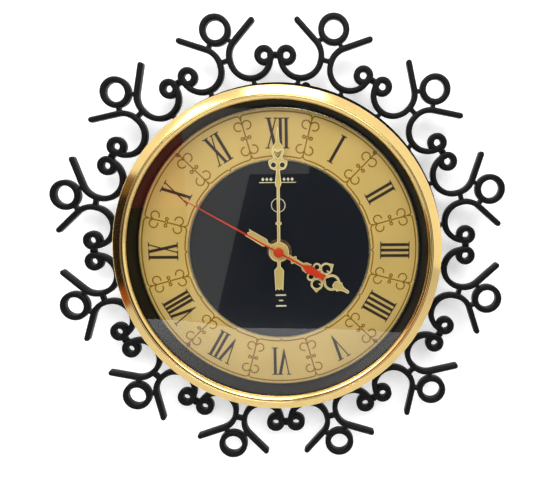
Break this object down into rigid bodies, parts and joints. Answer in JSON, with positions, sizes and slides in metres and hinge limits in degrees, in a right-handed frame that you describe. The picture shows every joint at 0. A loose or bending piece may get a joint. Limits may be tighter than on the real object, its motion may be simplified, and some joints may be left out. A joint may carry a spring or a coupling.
{
  "type": "sunburst wall clock",
  "caption": "Round wall clock with an openwork scroll wreath, polished gold bezel, black and gold dial, ornate hands and a battery movement behind.",
  "frame": {"origin": "on the hands' axis, in the plane of the case's rear rim, which bears on the wall", "axes": "+Y points into the wall, so the dial faces -Y; +Z is 12 o'clock; +X is 3 o'clock"},
  "size_m": [0.3272, 0.05, 0.3272],
  "materials": {
    "wreath_plastic": "satin black moulded plastic",
    "case_plastic": "gloss black moulded plastic",
    "bezel_gold": "polished, gold anodised",
    "glass_clear": "flat clear glass",
    "dial_black": "gloss black lacquer",
    "chapter_gold": "fine satin gold",
    "numeral_print": "dark brown printed ink",
    "line_print": "light brown printed ink",
    "hand_brass": "pale lacquered brass",
    "second_red": "orange-red enamel",
    "nut_brass": "machined brass",
    "washer_rubber": "black rubber",
    "housing_plastic": "fine-textured moulded plastic",
    "cover_plastic": "grey-white moulded plastic",
    "gear_plastic": "natural acetal",
    "steel": "zinc-plated steel",
    "winding_copper": "enamelled copper wire",
    "board_green": "green solder mask",
    "chip_black": "black epoxy",
    "battery_can": "printed steel can",
    "knob_plastic": "black plastic"
  },
  "bodies": {
    "root": {"scroll_unit_01": "wreath_plastic", "scroll_unit_02": "wreath_plastic", "scroll_unit_03": "wreath_plastic", "scroll_unit_04": "wreath_plastic", "scroll_unit_05": "wreath_plastic", "scroll_unit_06": "wreath_plastic", "scroll_unit_07": "wreath_plastic", "scroll_unit_08": "wreath_plastic", "scroll_unit_09": "wreath_plastic", "scroll_unit_10": "wreath_plastic", "scroll_unit_11": "wreath_plastic", "scroll_unit_12": "wreath_plastic", "case_body": "case_plastic", "glass": "glass_clear", "bezel": "bezel_gold", "dial_plate": "dial_black", "chapter_ring": "chapter_gold", "dial_rivets": "nut_brass", "hand_nut": "nut_brass", "sealing_washer": "washer_rubber", "movement_housing": "housing_plastic", "train_bridge": "cover_plastic", "movement_cover": "cover_plastic", "cover_screws": "steel", "stator": "steel", "coil_core": "steel", "coil_winding": "winding_copper", "circuit_board": "board_green", "quartz_crystal": "steel", "control_chip": "chip_black", "contact_negative": "steel", "contact_positive": "steel", "hanger_plate": "steel", "hanger_screws": "steel"},
    "hour_hand_body": {"hour_hand": "hand_brass", "hour_collet": "hand_brass", "hour_wheel": "gear_plastic"},
    "minute_hand_body": {"minute_hand": "hand_brass", "minute_collet": "hand_brass", "minute_arbor": "steel"},
    "second_hand_body": {"second_hand": "second_red", "second_hub": "second_red", "second_wheel": "gear_plastic"},
    "motion_wheel_body": {"motion_wheel": "gear_plastic"},
    "setting_knob_body": {"setting_knob": "knob_plastic"},
    "third_wheel_body": {"third_wheel": "gear_plastic"},
    "centre_wheel_body": {"centre_wheel": "gear_plastic"},
    "intermediate_wheel_body": {"intermediate_wheel": "gear_plastic"},
    "rotor_body": {"rotor": "steel"},
    "battery_body": {"battery": "battery_can"}
  },
  "joints": [
    {"name": "minute_hand_turn", "type": "hinge", "parent": "root", "child": "minute_hand_body", "pos_m": [0, 0, 0], "axis": [0, 1, 0], "continuous": true},
    {"name": "hour_hand_turn", "type": "hinge", "parent": "root", "child": "hour_hand_body", "pos_m": [0, 0, 0], "axis": [0, 1, 0], "continuous": true},
    {"name": "motion_wheel_turn", "type": "hinge", "parent": "root", "child": "motion_wheel_body", "pos_m": [0.01128, 0, -0.0041], "axis": [0, 1, 0], "continuous": true},
    {"name": "setting_knob_turn", "type": "hinge", "parent": "root", "child": "setting_knob_body", "pos_m": [0.02255, 0, -0.00821], "axis": [0, 1, 0], "continuous": true},
    {"name": "second_hand_turn", "type": "hinge", "parent": "root", "child": "second_hand_body", "pos_m": [0, 0, 0], "axis": [0, 1, 0], "continuous": true},
    {"name": "third_wheel_turn", "type": "hinge", "parent": "root", "child": "third_wheel_body", "pos_m": [0.00317, 0, 0.01182], "axis": [0, 1, 0], "continuous": true},
    {"name": "centre_wheel_turn", "type": "hinge", "parent": "root", "child": "centre_wheel_body", "pos_m": [0, 0, 0], "axis": [0, 1, 0], "continuous": true},
    {"name": "intermediate_wheel_turn", "type": "hinge", "parent": "root", "child": "intermediate_wheel_body", "pos_m": [-0.00779, 0, 0.0045], "axis": [0, 1, 0], "continuous": true},
    {"name": "rotor_turn", "type": "hinge", "parent": "root", "child": "rotor_body", "pos_m": [-0.01507, 0, 0.0087], "axis": [0, 1, 0], "continuous": true},
    {"name": "battery_lift_out", "type": "slide", "parent": "root", "child": "battery_body", "axis": [0, 1, 0], "range_m": [0, 0.03]}
  ],
  "couplings": [
    {"joint": "hour_hand_turn", "follows": "minute_hand_turn", "ratio": 0.083333},
    {"joint": "motion_wheel_turn", "follows": "minute_hand_turn", "ratio": -0.33333},
    {"joint": "setting_knob_turn", "follows": "minute_hand_turn", "ratio": 1},
    {"joint": "third_wheel_turn", "follows": "second_hand_turn", "ratio": -0.13333},
    {"joint": "centre_wheel_turn", "follows": "second_hand_turn", "ratio": 0.016667},
    {"joint": "intermediate_wheel_turn", "follows": "second_hand_turn", "ratio": -5},
    {"joint": "rotor_turn", "follows": "second_hand_turn", "ratio": 30}
  ]
}
